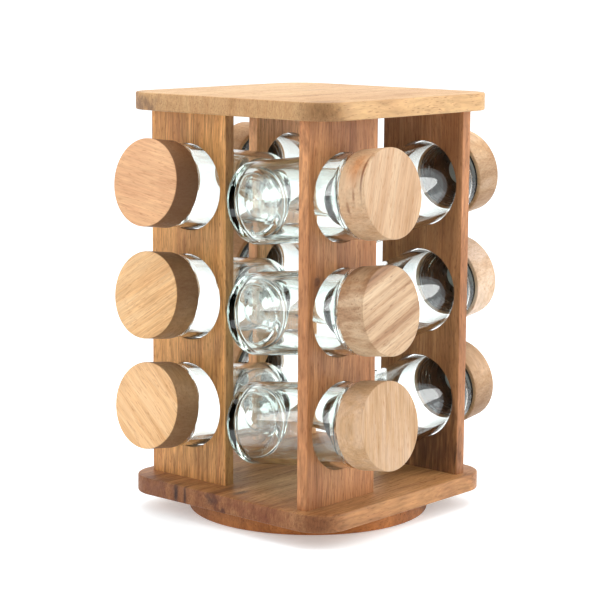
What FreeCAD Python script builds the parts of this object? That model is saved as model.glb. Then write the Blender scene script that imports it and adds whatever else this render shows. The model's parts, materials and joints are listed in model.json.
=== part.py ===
"""Revolving spice carousel: a square wooden rack on a round turntable base.

Four drilled panels stand in a pinwheel between two square boards. Each panel holds
three glass jars that droop inwards in their holes, with wooden screw caps outside.
Millimetres, +Z up, origin on the floor under the spin axis. The front panel faces -Y
and the other three are the same panel turned by quarter turns about Z.
"""
import FreeCAD, Part
import math
import os

V = FreeCAD.Vector
UP = V(0, 0, 1)

# ---- boards and panels -------------------------------------------------------------
board_side = 150.0          # square top and bottom boards
board_thickness = 9.8
board_corner_radius = 19.0
board_edge_round = 0.8
panel_thickness = 7.0
panel_width = 57.0
panel_height = 208.8        # between the two boards
panel_face = 58.0           # spin axis to a panel's outer face
panel_outer_edge = 68.5     # spin axis to a panel's outer upright edge
panel_edge_round = 0.4
groove_depth = 2.0          # each panel end is let into its board
glue_gap = 0.05

# ---- turntable base ------------------------------------------------------------------
base_radius = 68.6
base_thickness = 8.4
base_edge_round = 1.0
turning_gap = 1.0           # base to bottom board
pad_radius = 7.0
pad_thickness = 1.6
pad_proud = 0.4             # how far a pad stands out of the base
pad_circle = 54.0
pad_count = 4

# ---- ball bearing between base and carousel -----------------------------------------
ball_radius = 2.5
ball_circle = 42.0
ball_count = 51             # a full ring of balls, with no cage
ball_play = 0.05
race_gap = 0.35             # race wall to the ball circle
race_outer_radius = 50.0
race_inner_radius = 34.0
race_reach = 3.4            # race edge past the balls' centres
pocket_depth = 4.5          # pocket for the races, in the base and in the board
pocket_play = 0.6

# ---- jars ----------------------------------------------------------------------------
jar_tilt = math.radians(7.5)    # inner end low
jar_rows = ("bottom", "middle", "top")
hole_pitch = 62.0
hole_radius = 24.15
hole_edge_round = 0.4
jar_in_hole = 62.5          # jar bottom to the middle of the panel, along the jar
jar_radius = 23.2
jar_wall = 2.8
jar_heel_radius = 4.0
jar_floor = 4.5
jar_floor_round = 5.0
jar_push_up = 0.8
jar_push_up_radius = 14.0
shoulder_start = 78.5
shoulder_round = 3.2
inner_shoulder_start = 75.8
neck_start = 82.8
neck_radius = 18.2
neck_bore = 15.6
neck_fillet = 1.1
lip = 94.2                  # glass height
lip_round = 0.7
thread_radius = 19.2
thread_pitch = 3.6
thread_turns = 1.5
thread_start = 85.6
thread_root_width = 1.9
thread_crest_width = 0.9

# ---- shaker insert ---------------------------------------------------------------------
shaker_plug_radius = 15.5
shaker_wall = 1.0
shaker_plug_length = 6.0
shaker_flange_radius = 17.6
shaker_flange = 1.0
shaker_boss_radius = 7.5
shaker_boss = 0.8
shaker_hole_radius = 1.25
shaker_hole_circle = 11.0
shaker_hole_count = 12

# ---- caps --------------------------------------------------------------------------------
cap_radius = 24.1
cap_start = 82.5            # jar bottom to the cap's open rim
cap_end = 100.0             # jar bottom to the cap's outer face
cap_edge_round = 0.5
liner_radius = 21.8
liner_bore = 19.6
liner_set_back = 0.5
liner_top = 1.3
seal_gap = 0.3              # shaker flange to the liner

# ---- screws up into the panels -------------------------------------------------------
screw_radius = 1.5
screw_head_radius = 3.0
screw_length = 22.0
screw_point = 3.0
screw_slot_width = 0.9
screw_slot_depth = 0.9
screw_play = 0.05
screw_inset = 11.0          # panel's upright edge to the screw

# ---- levels and places worked out from the sizes above ---------------------------------
base_bottom = pad_proud
base_top = base_bottom + base_thickness
board_bottom = base_top + turning_gap
floor_level = board_bottom + board_thickness
ceiling_level = floor_level + panel_height
board_top = ceiling_level + board_thickness
panel_middle = panel_face - panel_thickness / 2
panel_inner_edge = panel_outer_edge - panel_width
panel_centre = (panel_outer_edge + panel_inner_edge) / 2
ball_level = base_top + turning_gap / 2
row_heights = [floor_level + panel_height / 2 + (row - 1) * hole_pitch for row in range(3)]
side_names = ("front", "right", "back", "left")


def quarter_turn(shape, side):
    """The shape carried from the front panel to another side of the pinwheel."""
    turned = shape.copy()
    turned.rotate(V(0, 0, 0), UP, 90.0 * side)
    return turned


def outline_face(points):
    """A face in the XZ plane from (radius, height) corners and three-point arcs.

    A plain pair is the end of a straight edge; a pair of pairs is an arc's middle and end.
    """
    edges = []
    start = V(points[0][0], 0, points[0][1])
    for item in points[1:]:
        if isinstance(item[0], tuple):
            middle, end = (V(r, 0, z) for r, z in item)
            edges.append(Part.Arc(start, middle, end).toShape())
        else:
            end = V(item[0], 0, item[1])
            edges.append(Part.LineSegment(start, end).toShape())
        start = end
    return Part.Face(Part.Wire(edges))


def arc_to(centre, radius, start_angle, end_angle):
    """Middle and end of an arc about a (radius, height) centre, angles in degrees."""
    def place(angle):
        turn = math.radians(angle)
        return (centre[0] + radius * math.cos(turn), centre[1] + radius * math.sin(turn))
    return (place((start_angle + end_angle) / 2), place(end_angle))


def turned(points):
    """A solid of revolution about Z from its outline."""
    solid = outline_face(points).revolve(V(0, 0, 0), UP, 360)
    return Part.makeSolid(solid.Shells[0]) if solid.ShapeType != "Solid" else solid


def ring(outer, inner, bottom, top):
    """A plain ring about Z."""
    return turned([(inner, bottom), (outer, bottom), (outer, top), (inner, top), (inner, bottom)])


def upright_edges(shape, length):
    """The straight edges that run along Z for at least a length."""
    found = []
    for edge in shape.Edges:
        box = edge.BoundBox
        if box.ZLength >= length and box.XLength < 1e-6 and box.YLength < 1e-6:
            found.append(edge)
    return found


# ---- boards ---------------------------------------------------------------------------
def board(bottom):
    """A square board with rounded corners and eased edges, its underside at a height."""
    half = board_side / 2
    block = Part.makeBox(board_side, board_side, board_thickness, V(-half, -half, bottom))
    block = block.makeFillet(board_corner_radius, upright_edges(block, board_thickness))
    flat = [e for e in block.Edges if e.BoundBox.ZLength < 1e-6]
    return block.makeFillet(board_edge_round, flat)


def panel_block(bottom, top, play):
    """The front panel's outline between two heights, grown by a play all round."""
    corner = V(-panel_outer_edge - play, -panel_face - play, bottom)
    return Part.makeBox(panel_width + 2 * play, panel_thickness + 2 * play, top - bottom, corner)


def top_board():
    """The top board, with a blind groove for each panel in its underside."""
    solid = board(ceiling_level)
    groove = panel_block(ceiling_level - 1, ceiling_level + groove_depth + glue_gap, glue_gap)
    for side in range(4):
        solid = solid.cut(quarter_turn(groove, side))
    return solid


def screw_places():
    """The two places under the front panel where a screw goes up."""
    first = -panel_outer_edge + screw_inset
    last = -panel_inner_edge - screw_inset
    return [V(x, -panel_middle, board_bottom) for x in (first, last)]


def bottom_board():
    """The bottom board: panel grooves, countersunk screw holes and the bearing pocket."""
    solid = board(board_bottom)
    groove = panel_block(floor_level - groove_depth - glue_gap, floor_level + 1, glue_gap)
    head_height = screw_head_radius - screw_radius
    for side in range(4):
        solid = solid.cut(quarter_turn(groove, side))
        for place in screw_places():
            hole = Part.makeCylinder(screw_radius + screw_play, board_thickness, place)
            sink = Part.makeCone(screw_head_radius + screw_play, screw_radius + screw_play,
                                 head_height, place)
            solid = solid.cut(quarter_turn(hole.fuse(sink), side))
    pocket = ring(race_outer_radius + pocket_play, race_inner_radius - glue_gap,
                  board_bottom - 1, board_bottom + pocket_depth)
    return solid.cut(pocket)


# ---- panels -----------------------------------------------------------------------------
def panel():
    """The front panel with its three jar holes, straight through, and screw pilots."""
    solid = panel_block(floor_level - groove_depth, ceiling_level + groove_depth, 0)
    solid = solid.makeFillet(panel_edge_round, upright_edges(solid, panel_height))
    for height in row_heights:
        start = V(-panel_centre, -panel_face - 1, height)
        solid = solid.cut(Part.makeCylinder(hole_radius, panel_thickness + 2, start, V(0, 1, 0)))
    rims = []
    for edge in solid.Edges:
        if isinstance(edge.Curve, Part.Circle) and abs(edge.Curve.Radius - hole_radius) < 1e-6:
            rims.append(edge)
    solid = solid.makeFillet(hole_edge_round, rims)
    pilot_length = screw_length - board_thickness + screw_point
    for place in screw_places():
        start = V(place.x, place.y, floor_level - groove_depth - 1)
        pilot = Part.makeCylinder(screw_radius + screw_play, pilot_length, start)
        solid = solid.cut(pilot)
    return solid


def panel_screw():
    """A countersunk wood screw, head down, with its drive slot."""
    head_height = screw_head_radius - screw_radius
    shank = screw_length - screw_point
    solid = turned([
        (0, 0), (screw_head_radius, 0), (screw_radius, head_height), (screw_radius, shank),
        (0, screw_length), (0, 0),
    ])
    slot = Part.makeBox(2 * screw_head_radius + 2, screw_slot_width, 2 * screw_slot_depth,
                        V(-screw_head_radius - 1, -screw_slot_width / 2, -screw_slot_depth))
    return solid.cut(slot)


def panel_screws():
    """All the screws, two up into each panel's end grain."""
    screws = []
    for side in range(4):
        for place in screw_places():
            screw = panel_screw()
            screw.translate(place)
            screws.append(quarter_turn(screw, side))
    return Part.makeCompound(screws)


# ---- base and bearing -----------------------------------------------------------------
def pad_places():
    """Centres of the foot pads, on the diagonals."""
    turns = [math.radians(45 + 360 * i / pad_count) for i in range(pad_count)]
    return [V(pad_circle * math.cos(t), pad_circle * math.sin(t), 0) for t in turns]


def base_disc():
    """The round base, pocketed above for the bearing and below for the pads."""
    solid = Part.makeCylinder(base_radius, base_thickness, V(0, 0, base_bottom))
    rims = [e for e in solid.Edges if e.BoundBox.ZLength < 1e-6]
    solid = solid.makeFillet(base_edge_round, rims)
    pocket = ring(race_outer_radius + glue_gap, race_inner_radius - pocket_play,
                  base_top - pocket_depth, base_top + 1)
    solid = solid.cut(pocket)
    for place in pad_places():
        solid = solid.cut(Part.makeCylinder(pad_radius + glue_gap, pad_thickness, place))
    return solid


def foot_pads():
    """Round pads let into the underside of the base, standing a little proud."""
    pads = []
    for place in pad_places():
        pad = Part.makeCylinder(pad_radius, pad_thickness, place)
        lower = [e for e in pad.Edges if e.BoundBox.ZMax < 1e-6]
        pads.append(pad.makeFillet(pad_proud / 2, lower))
    return Part.makeCompound(pads)


def ball_groove():
    """The round groove that the balls run in."""
    return Part.makeTorus(ball_circle, ball_radius + ball_play, V(0, 0, ball_level), UP)


def lower_race():
    """The outer race, set in the base and reaching up round the balls."""
    body = ring(race_outer_radius, ball_circle + race_gap,
                base_top - pocket_depth, ball_level + race_reach)
    return body.cut(ball_groove())


def upper_race():
    """The inner race, set in the bottom board and reaching down inside the balls."""
    body = ring(ball_circle - race_gap, race_inner_radius,
                ball_level - race_reach, board_bottom + pocket_depth)
    return body.cut(ball_groove())


def bearing_balls():
    """The ring of balls that carries the carousel and locks the two races together."""
    balls = []
    for i in range(ball_count):
        turn = 2 * math.pi * i / ball_count
        centre = V(ball_circle * math.cos(turn), ball_circle * math.sin(turn), ball_level)
        balls.append(Part.makeSphere(ball_radius, centre))
    return Part.makeCompound(balls)


# ---- jar, shaker and cap, each along +Z from the jar's bottom -----------------------------
def screw_thread():
    """The raised thread round the jar's neck."""
    height = thread_pitch * thread_turns
    root = neck_radius - 0.3
    half_root, half_crest = thread_root_width / 2, thread_crest_width / 2
    helix = Part.makeHelix(thread_pitch, height, root)
    section = Part.makePolygon([
        V(root, 0, -half_root), V(thread_radius, 0, -half_crest),
        V(thread_radius, 0, half_crest), V(root, 0, half_root), V(root, 0, -half_root),
    ])
    thread = Part.Wire(helix).makePipeShell([section], True, True)
    thread.translate(V(0, 0, thread_start))
    return thread


def jar():
    """A round glass jar: thick floor, full shoulder, threaded neck."""
    heel = (jar_radius - jar_heel_radius, jar_heel_radius)
    shoulder = (jar_radius - shoulder_round, shoulder_start)
    foot = (neck_radius + neck_fillet, neck_start)
    bore = jar_radius - jar_wall
    floor = (bore - jar_floor_round, jar_floor + jar_floor_round)
    inside_round = bore - neck_bore
    inside_shoulder = (neck_bore, inner_shoulder_start)
    glass = turned([
        (0, jar_push_up),
        ((jar_push_up_radius * 0.6, jar_push_up * 0.64), (jar_push_up_radius, 0)),
        (jar_radius - jar_heel_radius, 0),
        arc_to(heel, jar_heel_radius, -90, 0),
        (jar_radius, shoulder_start),
        arc_to(shoulder, shoulder_round, 0, 90),
        (neck_radius + neck_fillet, shoulder_start + shoulder_round),
        arc_to(foot, neck_fillet, -90, -180),
        (neck_radius, lip - lip_round),
        arc_to((neck_radius - lip_round, lip - lip_round), lip_round, 0, 90),
        (neck_bore + lip_round, lip),
        arc_to((neck_bore + lip_round, lip - lip_round), lip_round, 90, 180),
        (neck_bore, inner_shoulder_start + inside_round),
        arc_to(inside_shoulder, inside_round, 90, 0),
        (bore, jar_floor + jar_floor_round),
        arc_to(floor, jar_floor_round, 0, -90),
        (0, jar_floor),
        (0, jar_push_up),
    ])
    return glass.fuse(screw_thread())


def shaker():
    """A plastic insert that plugs the neck: a low boss inside a ring of small holes."""
    top = lip + shaker_flange
    inner = shaker_plug_radius - shaker_wall
    boss = (shaker_boss_radius, lip - shaker_boss)
    solid = turned([
        (0, lip - shaker_boss), boss, (shaker_boss_radius + shaker_boss, lip),
        (inner, lip), (inner, lip - shaker_plug_length),
        (shaker_plug_radius, lip - shaker_plug_length), (shaker_plug_radius, lip),
        (shaker_flange_radius, lip), (shaker_flange_radius, top), (0, top),
        (0, lip - shaker_boss),
    ])
    for i in range(shaker_hole_count):
        turn = 2 * math.pi * i / shaker_hole_count
        start = V(shaker_hole_circle * math.cos(turn), shaker_hole_circle * math.sin(turn),
                  lip - 1)
        solid = solid.cut(Part.makeCylinder(shaker_hole_radius, shaker_flange + 2, start))
    return solid


def liner_height():
    """Distance from the jar's bottom to the underside of the liner's top."""
    return lip + shaker_flange + seal_gap


def cap():
    """A turned wooden cap, bored for its plastic liner."""
    floor = liner_height() + liner_top
    bore = liner_radius + glue_gap
    r = cap_edge_round
    return turned([
        (bore, cap_start), (cap_radius - r, cap_start),
        arc_to((cap_radius - r, cap_start + r), r, -90, 0),
        (cap_radius, cap_end - r),
        arc_to((cap_radius - r, cap_end - r), r, 0, 90),
        (0, cap_end), (0, floor + glue_gap), (bore, floor + glue_gap), (bore, cap_start),
    ])


def cap_liner():
    """The plastic cup inside a cap that screws onto the jar."""
    inside = liner_height()
    rim = cap_start + liner_set_back
    return turned([
        (liner_bore, rim), (liner_radius, rim), (liner_radius, inside + liner_top),
        (0, inside + liner_top), (0, inside), (liner_bore, inside), (liner_bore, rim),
    ])


def hung_in_panel(shape, row, side):
    """The shape carried from the jar's own axis to its place in a panel's hole."""
    outward = V(0, -math.cos(jar_tilt), math.sin(jar_tilt))
    hole = V(-panel_centre, -panel_middle, row_heights[row])
    placed = shape.copy()
    placed.Placement = FreeCAD.Placement(hole - outward * jar_in_hole,
                                         FreeCAD.Rotation(UP, outward))
    return quarter_turn(placed, side)


def build():
    """Every sub-part by its node name."""
    parts = {
        "base_disc": base_disc(),
        "foot_pads": foot_pads(),
        "lower_race": lower_race(),
        "bearing_balls": bearing_balls(),
        "upper_race": upper_race(),
        "bottom_board": bottom_board(),
        "top_board": top_board(),
        "panel_screws": panel_screws(),
    }
    front_panel = panel()
    for side, name in enumerate(side_names):
        parts[name + "_panel"] = quarter_turn(front_panel, side)
    jar_set = {"jar": jar(), "shaker": shaker(), "cap": cap(), "cap_liner": cap_liner()}
    for side, side_name in enumerate(side_names):
        for row, row_name in enumerate(jar_rows):
            for piece, shape in jar_set.items():
                parts[f"{side_name}_{row_name}_{piece}"] = hung_in_panel(shape, row, side)
    return parts


os.makedirs("parts", exist_ok=True)
for node, shape in build().items():
    if not shape.isValid():
        print("not valid:", node)
    shape.exportStep(os.path.join("parts", node + ".step"))
print("levels:", base_top, board_bottom, floor_level, ceiling_level, board_top)
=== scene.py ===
"""Dresses a revolving spice carousel for the camera.

A round base carries a square rack on a ring of bearing balls. Four drilled panels stand
in a pinwheel between two boards of oiled acacia, and each holds three glass jars that
droop inwards in their holes, with turned wooden screw caps outside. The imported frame
gives every place; each piece is shaped here around it, in metres, and rides on its body.
"""
import json
import logging
import math
from contextlib import contextmanager
from dataclasses import dataclass, field
from enum import Enum
from typing import Callable, Iterator, Sequence

import bmesh
import bpy
from mathutils import Matrix, Vector


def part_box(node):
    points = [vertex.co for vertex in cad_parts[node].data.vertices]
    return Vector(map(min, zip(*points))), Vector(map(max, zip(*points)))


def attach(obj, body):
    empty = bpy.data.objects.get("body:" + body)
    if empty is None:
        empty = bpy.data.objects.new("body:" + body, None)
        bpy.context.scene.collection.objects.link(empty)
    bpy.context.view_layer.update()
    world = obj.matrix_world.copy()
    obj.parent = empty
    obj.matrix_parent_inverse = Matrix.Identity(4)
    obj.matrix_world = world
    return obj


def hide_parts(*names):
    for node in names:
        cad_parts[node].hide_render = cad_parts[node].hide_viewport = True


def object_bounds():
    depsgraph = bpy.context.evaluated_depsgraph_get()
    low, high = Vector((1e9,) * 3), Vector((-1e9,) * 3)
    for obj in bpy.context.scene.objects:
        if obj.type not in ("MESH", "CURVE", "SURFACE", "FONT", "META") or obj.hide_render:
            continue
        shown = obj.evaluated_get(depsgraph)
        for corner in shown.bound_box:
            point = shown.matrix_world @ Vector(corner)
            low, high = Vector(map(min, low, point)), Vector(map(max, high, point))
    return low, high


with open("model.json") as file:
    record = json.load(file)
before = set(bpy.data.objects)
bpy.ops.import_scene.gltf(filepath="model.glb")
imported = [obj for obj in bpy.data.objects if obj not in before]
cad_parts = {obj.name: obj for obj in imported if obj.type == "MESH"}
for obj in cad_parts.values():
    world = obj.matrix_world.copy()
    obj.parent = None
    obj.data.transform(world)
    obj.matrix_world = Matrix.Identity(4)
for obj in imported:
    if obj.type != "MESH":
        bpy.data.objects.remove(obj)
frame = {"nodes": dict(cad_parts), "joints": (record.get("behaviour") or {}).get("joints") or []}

CAD_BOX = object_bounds()
LOG = logging.getLogger("spice_carousel")

UP = Vector((0.0, 0.0, 1.0))
MERGE_DISTANCE = 1e-6       # metres: points nearer than this are one point
TURNING_STEPS = 128         # facets round a turned piece
SMOOTH_BELOW = math.radians(35.0)


def mm(value: float) -> float:
    """Millimetres as metres."""
    return value / 1000.0


class Side(Enum):
    """The sides of the pinwheel, by quarter turns about +Z from the front one."""

    FRONT = 0
    RIGHT = 1
    BACK = 2
    LEFT = 3

    @property
    def word(self) -> str:
        """The side's name as the frame writes it."""
        return self.name.lower()

    @property
    def quarter_turn(self) -> Matrix:
        """The turn that carries the front side to this one."""
        return Matrix.Rotation(math.radians(90.0 * self.value), 4, "Z")


class Row(Enum):
    """The rows of jars, by hole pitches above the middle one."""

    BOTTOM = -1
    MIDDLE = 0
    TOP = 1

    @property
    def word(self) -> str:
        """The row's name as the frame writes it."""
        return self.name.lower()


# ---- shaping by hand -----------------------------------------------------------------
def deselect_all() -> None:
    """Leaves nothing selected, so that the next operator acts on new work only."""
    bpy.ops.object.select_all(action="DESELECT")


def take_up(piece: bpy.types.Object) -> None:
    """Makes a piece the only selected object and the active one.

    Args:
        piece: The object to work on next.
    """
    deselect_all()
    piece.select_set(True)
    bpy.context.view_layer.objects.active = piece


def settle(piece: bpy.types.Object) -> None:
    """Puts a piece's place, turn and size into its mesh.

    Args:
        piece: The object that then sits at the origin.
    """
    take_up(piece)
    bpy.ops.object.transform_apply(location=True, rotation=True, scale=True)


@contextmanager
def editing(piece: bpy.types.Object) -> Iterator[None]:
    """Opens a piece in edit mode, and closes it when the work on it is done.

    Args:
        piece: The object to work on.
    """
    take_up(piece)
    bpy.ops.object.mode_set(mode="EDIT")
    yield
    bpy.ops.object.mode_set(mode="OBJECT")


def pick(piece: bpy.types.Object, kind: str, test: Callable[[Vector, Vector], bool]) -> int:
    """Selects, in edit mode, what lies where a test says.

    Args:
        piece: The object in edit mode.
        kind: "VERT", "EDGE" or "FACE".
        test: Says yes to a centre, and to a normal, or to a direction for an edge.

    Returns:
        How many were selected.
    """
    bpy.ops.mesh.select_mode(type=kind)
    bpy.ops.mesh.select_all(action="DESELECT")
    shape = bmesh.from_edit_mesh(piece.data)
    found = 0
    for item in {"VERT": shape.verts, "EDGE": shape.edges, "FACE": shape.faces}[kind]:
        if kind == "VERT":
            centre, normal = item.co, item.normal
        elif kind == "EDGE":
            start, end = (vertex.co for vertex in item.verts)
            centre, normal = (start + end) / 2, (end - start).normalized()
        else:
            centre, normal = item.calc_center_median(), item.normal
        if test(centre, normal):
            item.select_set(True)
            found += 1
    shape.select_flush_mode()
    bmesh.update_edit_mesh(piece.data)
    return found


def close_seams() -> None:
    """Merges doubled points of the mesh in edit mode, and turns its faces outwards."""
    bpy.ops.mesh.select_all(action="SELECT")
    bpy.ops.mesh.remove_doubles(threshold=MERGE_DISTANCE)
    bpy.ops.mesh.normals_make_consistent(inside=False)


def smooth(piece: bpy.types.Object, below: float = SMOOTH_BELOW) -> bpy.types.Object:
    """Shades a piece smooth except at its sharp edges.

    Args:
        piece: The object to shade.
        below: Angle in radians up to which an edge is smooth.

    Returns:
        The same object.
    """
    take_up(piece)
    bpy.ops.object.shade_smooth_by_angle(angle=below)
    return piece


@dataclass(frozen=True)
class Corner:
    """A corner of a turned outline, in millimetres.

    Args:
        radius: Distance from the axis.
        height: Distance along the axis.
        ease: Radius of the round on this corner.
        facets: Facets of that round.
    """

    radius: float
    height: float
    ease: float = 0.0
    facets: int = 6


def tangent_length(before: Corner, corner: Corner, after: Corner) -> float:
    """How far back from a corner its round starts.

    Args:
        before: The corner before it.
        corner: The corner that is rounded.
        after: The corner after it.

    Returns:
        The distance in millimetres.
    """
    arriving = Vector((corner.radius - before.radius, corner.height - before.height))
    leaving = Vector((after.radius - corner.radius, after.height - corner.height))
    return corner.ease * math.tan(arriving.angle(leaving) / 2)


def trace(name: str, points: Sequence[tuple[float, float]]) -> bpy.types.Object:
    """Draws an outline beside the Z axis, as bare edges.

    Args:
        name: The object's name.
        points: Its points, each a radius and a height in millimetres.

    Returns:
        The outline, settled at the origin.
    """
    deselect_all()
    radius, height = points[0]
    bpy.ops.mesh.primitive_plane_add(size=mm(1.0), location=(mm(radius), 0.0, mm(height)))
    piece = bpy.context.active_object
    piece.name = name
    settle(piece)
    with editing(piece):
        bpy.ops.mesh.select_mode(type="VERT")
        bpy.ops.mesh.select_all(action="SELECT")
        bpy.ops.mesh.merge(type="CENTER")
        for here, there in zip(points, points[1:]):
            step = (mm(there[0] - here[0]), 0.0, mm(there[1] - here[1]))
            bpy.ops.mesh.extrude_region_move(TRANSFORM_OT_translate={"value": step})
        bpy.ops.mesh.select_all(action="SELECT")
        bpy.ops.mesh.remove_doubles(threshold=MERGE_DISTANCE)
    return piece


def turn(name: str, corners: Sequence[Corner], steps: int = TURNING_STEPS) -> bpy.types.Object:
    """Turns a solid about Z, as on a lathe, from its outline.

    Args:
        name: The object's name.
        corners: The outline in order; a ring's outline ends where it starts.
        steps: Facets round the axis.

    Returns:
        The turned object, at the origin, its axis along +Z.
    """
    piece = trace(name, [(corner.radius, corner.height) for corner in corners])
    with editing(piece):
        for before, corner, after in zip(corners, corners[1:], corners[2:]):
            if corner.ease:
                place = Vector((mm(corner.radius), 0.0, mm(corner.height)))
                pick(piece, "VERT", lambda at, _: (at - place).length < MERGE_DISTANCE)
                bpy.ops.mesh.bevel(offset=mm(tangent_length(before, corner, after)),
                                   segments=corner.facets, affect="VERTICES")
        bpy.ops.mesh.select_all(action="SELECT")
        bpy.ops.mesh.spin(steps=steps, angle=2 * math.pi, center=(0, 0, 0), axis=(0, 0, 1))
        close_seams()
    return piece


def block(name: str, low: Vector, high: Vector) -> bpy.types.Object:
    """A squared block between two corners, ready to be worked.

    Args:
        name: The object's name.
        low: Its lowest corner, in metres.
        high: Its highest corner, in metres.

    Returns:
        The block, settled at the origin.
    """
    deselect_all()
    bpy.ops.mesh.primitive_cube_add(size=1.0, location=(low + high) / 2, scale=high - low)
    piece = bpy.context.active_object
    piece.name = name
    settle(piece)
    return piece


def cut(piece: bpy.types.Object, cutter: bpy.types.Object, keep: bool = False) -> None:
    """Cuts one closed shape out of a piece, or joins it on.

    Args:
        piece: The object that is worked.
        cutter: The closed shape, which is used up.
        keep: Joins the shape on instead of taking it away.
    """
    take_up(piece)
    work = piece.modifiers.new("cut", "BOOLEAN")
    work.operation = "UNION" if keep else "DIFFERENCE"
    work.solver = "EXACT"
    work.object = cutter
    bpy.ops.object.modifier_apply(modifier=work.name)
    bpy.data.objects.remove(cutter)


def drill(piece: bpy.types.Object, radius: float, depth: float, place: Vector,
          level: bool = False, facets: int = TURNING_STEPS) -> None:
    """Drills a round hole.

    Args:
        piece: The object that is drilled.
        radius: Of the hole, in millimetres.
        depth: Length of the drill, in metres.
        place: The middle of the drill.
        level: Drills along Y instead of along Z.
        facets: Facets round the hole.
    """
    deselect_all()
    bpy.ops.mesh.primitive_cylinder_add(
        vertices=facets, radius=mm(radius), depth=depth, location=place,
        rotation=(math.pi / 2 if level else 0.0, 0.0, 0.0))
    cutter = bpy.context.active_object
    settle(cutter)
    cut(piece, cutter)


def join(name: str, pieces: Sequence[bpy.types.Object]) -> bpy.types.Object:
    """Joins separate solids into one piece.

    Args:
        name: The joined object's name.
        pieces: The objects, each settled.

    Returns:
        The joined object.
    """
    take_up(pieces[0])
    for piece in pieces:
        piece.select_set(True)
    bpy.ops.object.join()
    pieces[0].name = name
    return pieces[0]


def copy_to(pattern: bpy.types.Object, name: str, place: Matrix) -> bpy.types.Object:
    """Copies a pattern piece with a mesh of its own.

    Args:
        pattern: The piece that is copied.
        name: The copy's name.
        place: The move that carries the pattern to the copy's place.

    Returns:
        The copy, its place in its mesh.
    """
    piece = pattern.copy()
    piece.data = pattern.data.copy()
    piece.name = name
    piece.data.name = name
    bpy.context.scene.collection.objects.link(piece)
    piece.data.transform(place)
    return piece


def put_away(pattern: bpy.types.Object) -> None:
    """Removes a pattern once its copies are made."""
    bpy.data.objects.remove(pattern)


def dress(piece: bpy.types.Object, *materials: bpy.types.Material) -> None:
    """Gives a piece its materials, in the order of its faces' slots.

    Args:
        piece: The object.
        materials: The first dresses every face that no other is chosen for.
    """
    piece.data.materials.clear()
    for material in materials:
        piece.data.materials.append(material)


def fit(piece: bpy.types.Object, body: str, slot: str, *stands_for: str) -> None:
    """Hangs a finished piece on its body and reports it.

    Args:
        piece: The finished object.
        body: The body that it rides on.
        slot: The record's material slot that its finish comes from; not used.
        stands_for: The frame's nodes that it is shown in place of.
    """
    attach(piece, body)
    if stands_for:
        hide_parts(*stands_for)
    LOG.info("%s on %s: %d faces", piece.name, body, len(piece.data.polygons))


# ---- finishes ------------------------------------------------------------------------
Stops = Sequence[tuple[float, str]]
Socket = bpy.types.NodeSocket
Tree = bpy.types.NodeTree


def linear(code: str) -> tuple[float, float, float, float]:
    """An sRGB hex colour as the linear colour that a shader reads.

    Args:
        code: Six hex digits after a hash.

    Returns:
        Linear red, green and blue, with an alpha of one.
    """
    def channel(start: int) -> float:
        """One channel, from its two digits."""
        value = int(code[start:start + 2], 16) / 255.0
        return value / 12.92 if value <= 0.04045 else ((value + 0.055) / 1.055) ** 2.4

    return (channel(1), channel(3), channel(5), 1.0)


def add(tree: Tree, kind: str, inputs: dict | None = None, stops: Stops = (),
        **settings: object) -> bpy.types.Node:
    """Adds one node with its settings, values and links.

    Args:
        tree: The material's node tree.
        kind: The node's type, without its ShaderNode prefix.
        inputs: By input name or number, a value to set or a socket to link from.
        stops: A colour ramp's places from 0 to 1, each with an sRGB hex colour.
        settings: The node's own settings.

    Returns:
        The new node.
    """
    node = tree.nodes.new("ShaderNode" + kind)
    for name, value in settings.items():
        setattr(node, name, value)
    for name, value in (inputs or {}).items():
        if isinstance(value, Socket):
            tree.links.new(value, node.inputs[name])
        else:
            node.inputs[name].default_value = value
    for number, (place, code) in enumerate(stops):
        elements = node.color_ramp.elements
        element = elements[number] if number < 2 else elements.new(place)
        element.position, element.color = place, linear(code)
    return node


def reckon(tree: Tree, operation: str, *terms: float | Socket) -> Socket:
    """The result of one arithmetic node."""
    return add(tree, "Math", dict(enumerate(terms)), operation=operation).outputs[0]


def remap(tree: Tree, value: Socket, source: tuple[float, float],
          target: tuple[float, float] = (0.0, 1.0), eased: bool = False) -> Socket:
    """Moves a value from one range to another, and holds it inside that.

    Args:
        tree: The material's node tree.
        value: The value.
        source: The range that it comes from.
        target: The range that it goes to.
        eased: Whether it starts and ends gently.

    Returns:
        The moved value.
    """
    return add(tree, "MapRange", {
        "Value": value, "From Min": source[0], "From Max": source[1], "To Min": target[0],
        "To Max": target[1]},
        interpolation_type="SMOOTHSTEP" if eased else "LINEAR").outputs[0]


def blend(tree: Tree, share: float | Socket, under: Socket | tuple, over: Socket | tuple,
          how: str = "MIX") -> Socket:
    """Lays a share of one colour over another."""
    return add(tree, "Mix", {"Factor": share, 6: under, 7: over}, data_type="RGBA",
               blend_type=how).outputs[2]


def mottle(tree: Tree, space: bpy.types.Node, size: float, detail: float) -> Socket:
    """Even noise over a piece, its patches of a size in millimetres."""
    return add(tree, "TexNoise", {
        "Vector": space.outputs["Object"], "Scale": 1.0 / mm(size), "Detail": detail}).outputs[0]


def bump(tree: Tree, height: Socket, strength: float, relief: float) -> Socket:
    """A normal that rises with a height, its relief in millimetres."""
    return add(tree, "Bump", {
        "Strength": strength, "Distance": mm(relief), "Height": height}).outputs[0]


def coat(tree: Tree, inputs: dict) -> None:
    """Ends a material in one principled surface."""
    skin = add(tree, "BsdfPrincipled", inputs)
    add(tree, "OutputMaterial", {"Surface": skin.outputs[0]})


def new_material(name: str) -> bpy.types.Material:
    """A material with an empty node tree.

    Args:
        name: The material's name.

    Returns:
        The new material.
    """
    material = bpy.data.materials.new(name)
    material.use_nodes = True
    material.node_tree.nodes.clear()
    return material


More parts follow.
